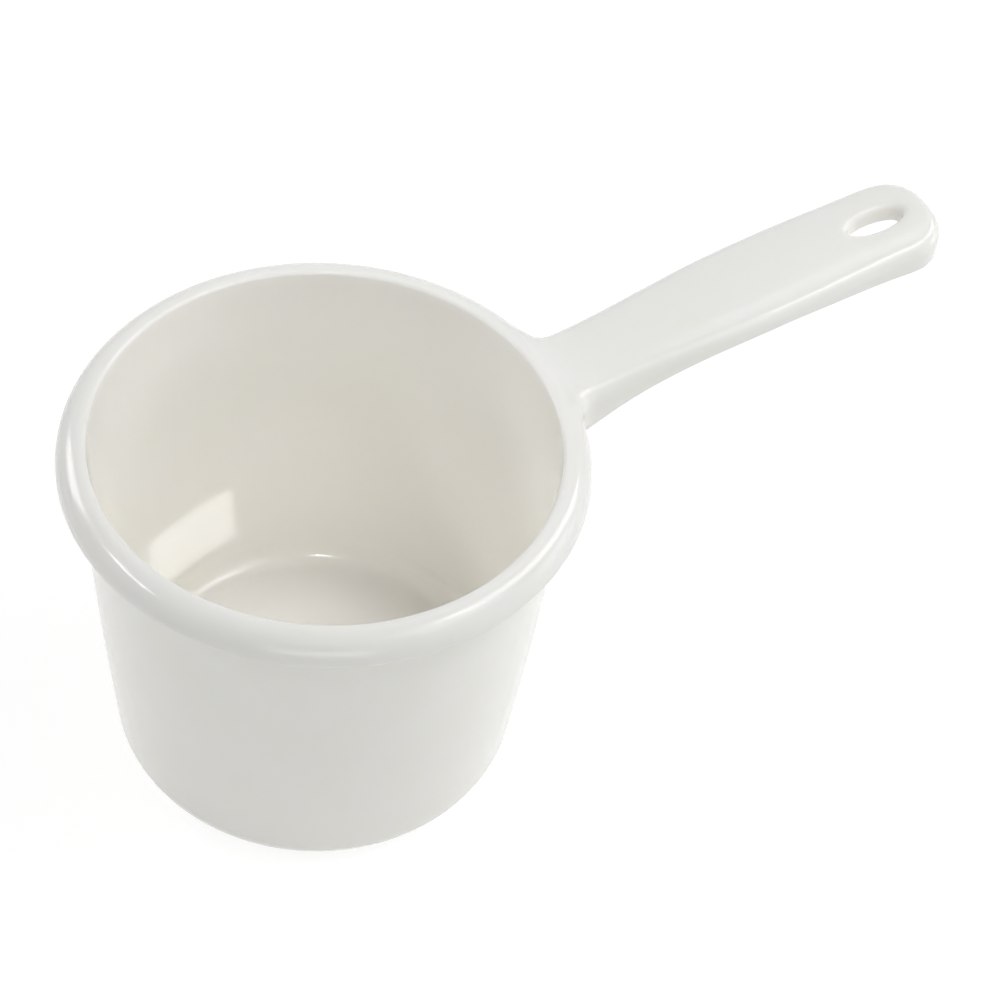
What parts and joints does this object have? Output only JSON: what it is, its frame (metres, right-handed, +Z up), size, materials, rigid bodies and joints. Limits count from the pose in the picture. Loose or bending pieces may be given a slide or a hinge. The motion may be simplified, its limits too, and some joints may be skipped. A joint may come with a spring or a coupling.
{
  "type": "water dipper",
  "caption": "Moulded water dipper: a tapered round cup with a rolled lip, and a rising channel-shaped handle with an oval hang hole near its tip.",
  "frame": {"origin": "centre of the flat base, on the plane the dipper stands on", "axes": "+Z up along the cup's axis; +X from the cup's axis along the handle to its tip; the shape is mirrored across the plane y = 0"},
  "size_m": [0.2955, 0.16, 0.1454],
  "materials": {
    "body_plastic": "glossy pearl-white moulded polypropylene, slightly translucent"
  },
  "bodies": {
    "root": {"dipper": "body_plastic"}
  },
  "joints": []
}
